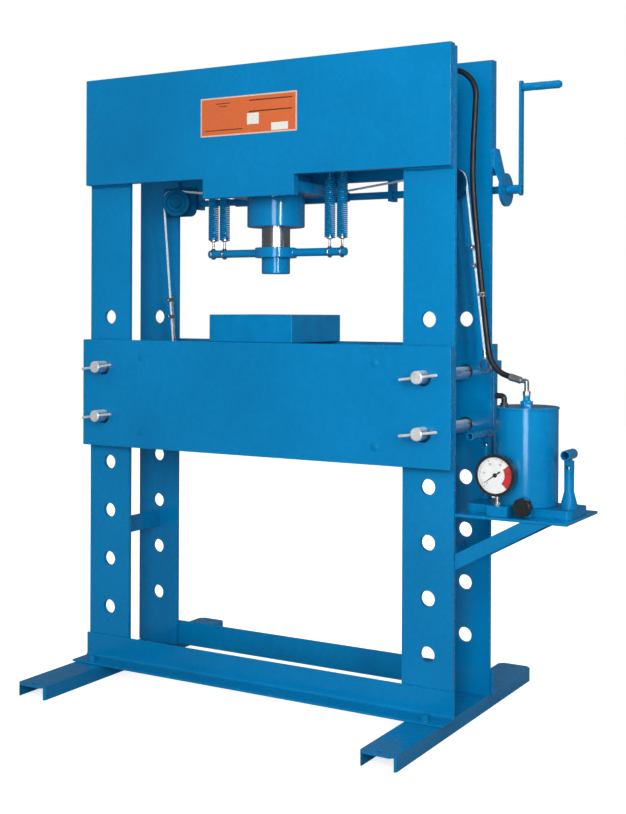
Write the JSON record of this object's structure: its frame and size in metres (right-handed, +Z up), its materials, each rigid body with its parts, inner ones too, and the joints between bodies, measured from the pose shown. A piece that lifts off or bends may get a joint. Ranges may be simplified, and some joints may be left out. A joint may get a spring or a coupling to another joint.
{
  "type": "hydraulic press",
  "caption": "H-frame workshop press with a ram and return springs, a pinned lifting bed on a rope winch, and a hand pump with a gauge on a side tray.",
  "frame": {"origin": "on the floor, in the middle of the four floor anchor holes", "axes": "+Z up, +Y from the front to the back, +X along the width, towards the pump"},
  "size_m": [1.556, 0.934, 1.838],
  "materials": {
    "blue_paint": "glossy",
    "polished_steel": "polished",
    "bright_steel": "satin",
    "rope_steel": "satin",
    "hose_rubber": "matte",
    "black_plastic": "glossy",
    "black_case": "glossy",
    "white_dial": "matte",
    "clear_glass": "polished"
  },
  "bodies": {
    "press_frame": {"bed_lugs": "blue_paint", "bed_plate_front": "blue_paint", "bed_plate_rear": "blue_paint", "bed_ties": "blue_paint", "breather": "black_plastic", "column_spacers": "blue_paint", "columns_left": "blue_paint", "columns_right": "blue_paint", "cylinder_body": "blue_paint", "cylinder_seat": "blue_paint", "feet": "blue_paint", "gauge_case": "black_case", "gauge_dial": "white_dial", "gauge_glass": "clear_glass", "gauge_stem": "bright_steel", "head_plate_front": "blue_paint", "head_plate_rear": "blue_paint", "hose": "hose_rubber", "hose_fittings": "bright_steel", "outlet_cap": "blue_paint", "press_block": "blue_paint", "pulley_studs": "blue_paint", "pump_barrels": "blue_paint", "pump_base": "blue_paint", "pump_tray": "blue_paint", "reservoir": "blue_paint", "reservoir_lid": "blue_paint", "rope_eyes": "bright_steel", "rope_left": "rope_steel", "rope_right": "rope_steel", "shaft_bearings": "blue_paint", "sills": "blue_paint", "spring_hangers": "blue_paint", "spring_hooks_upper": "bright_steel", "tray_braces": "blue_paint", "valve_blocks": "blue_paint", "winch_plate": "blue_paint"},
    "ram": {"piston_rod": "polished_steel", "return_crossbar": "blue_paint", "ram_nose": "blue_paint", "spring_hooks_lower": "bright_steel", "return_springs": "blue_paint"},
    "crank": {"winch_shaft": "blue_paint", "winch_drums": "blue_paint", "crank_arm": "blue_paint"},
    "grip": {"crank_grip": "blue_paint"},
    "pulley_left": {"guide_pulley_left": "blue_paint"},
    "pulley_right": {"guide_pulley_right": "blue_paint"},
    "knob": {"release_knob": "black_plastic"},
    "needle": {"gauge_needle": "black_plastic"},
    "lever_left": {"lever_socket_left": "blue_paint"},
    "lever_right": {"lever_socket_right": "blue_paint"},
    "plunger_left": {"pump_plunger_left": "polished_steel"},
    "plunger_right": {"pump_plunger_right": "polished_steel"},
    "pin_left_lower": {"lock_pin_left_lower": "polished_steel"},
    "pin_left_upper": {"lock_pin_left_upper": "polished_steel"},
    "pin_right_lower": {"lock_pin_right_lower": "polished_steel"},
    "pin_right_upper": {"lock_pin_right_upper": "polished_steel"}
  },
  "joints": [
    {"name": "ram_slide", "type": "slide", "parent": "press_frame", "child": "ram", "axis": [0, 0, -1], "range_m": [0, 0.12], "deforming": ["return_springs"]},
    {"name": "pin_left_lower_slide", "type": "slide", "parent": "press_frame", "child": "pin_left_lower", "axis": [0, -1, 0], "range_m": [0, 0.36]},
    {"name": "pin_left_upper_slide", "type": "slide", "parent": "press_frame", "child": "pin_left_upper", "axis": [0, -1, 0], "range_m": [0, 0.36]},
    {"name": "pin_right_lower_slide", "type": "slide", "parent": "press_frame", "child": "pin_right_lower", "axis": [0, -1, 0], "range_m": [0, 0.36]},
    {"name": "pin_right_upper_slide", "type": "slide", "parent": "press_frame", "child": "pin_right_upper", "axis": [0, -1, 0], "range_m": [0, 0.36]},
    {"name": "crank_turn", "type": "hinge", "parent": "press_frame", "child": "crank", "pos_m": [0, 0.177, 1.4727], "axis": [1, 0, 0], "continuous": true},
    {"name": "grip_spin", "type": "hinge", "parent": "crank", "child": "grip", "pos_m": [0.6826, 0.177, 1.7607], "axis": [1, 0, 0], "continuous": true},
    {"name": "pulley_left_spin", "type": "hinge", "parent": "press_frame", "child": "pulley_left", "pos_m": [-0.4356, 0.06308, 1.468], "axis": [-0.5738, 0.819, 0], "continuous": true},
    {"name": "pulley_right_spin", "type": "hinge", "parent": "press_frame", "child": "pulley_right", "pos_m": [0.5258, 0.08377, 1.486], "axis": [0.2255, 0.9742, 0], "continuous": true},
    {"name": "knob_turn", "type": "hinge", "parent": "press_frame", "child": "knob", "pos_m": [0.804, -0.118, 0.617], "axis": [0, -1, 0], "range_deg": [0, 180]},
    {"name": "needle_swing", "type": "hinge", "parent": "press_frame", "child": "needle", "pos_m": [0.732, -0.12, 0.697], "axis": [0, 1, 0], "range_deg": [0, 270], "stiffness_Nm_per_rad": 0.0005},
    {"name": "lever_left_hinge", "type": "hinge", "parent": "press_frame", "child": "lever_left", "pos_m": [0.642, 0.04, 0.77], "axis": [1, 0, 0], "range_deg": [0, 35]},
    {"name": "plunger_left_slide", "type": "slide", "parent": "press_frame", "child": "plunger_left", "axis": [0, 0, -1], "range_m": [0, 0.0125]},
    {"name": "lever_right_hinge", "type": "hinge", "parent": "press_frame", "child": "lever_right", "pos_m": [0.899, -0.02, 0.7285], "axis": [1, 0, 0], "range_deg": [0, 35]},
    {"name": "plunger_right_slide", "type": "slide", "parent": "press_frame", "child": "plunger_right", "axis": [0, 0, -1], "range_m": [0, 0.0125]}
  ],
  "couplings": [
    {"joint": "pulley_left_spin", "follows": "crank_turn", "ratio": -0.4947},
    {"joint": "pulley_right_spin", "follows": "crank_turn", "ratio": 0.4947},
    {"joint": "plunger_left_slide", "follows": "lever_left_hinge", "m_per_rad": 0.02},
    {"joint": "plunger_right_slide", "follows": "lever_right_hinge", "m_per_rad": 0.02}
  ]
}
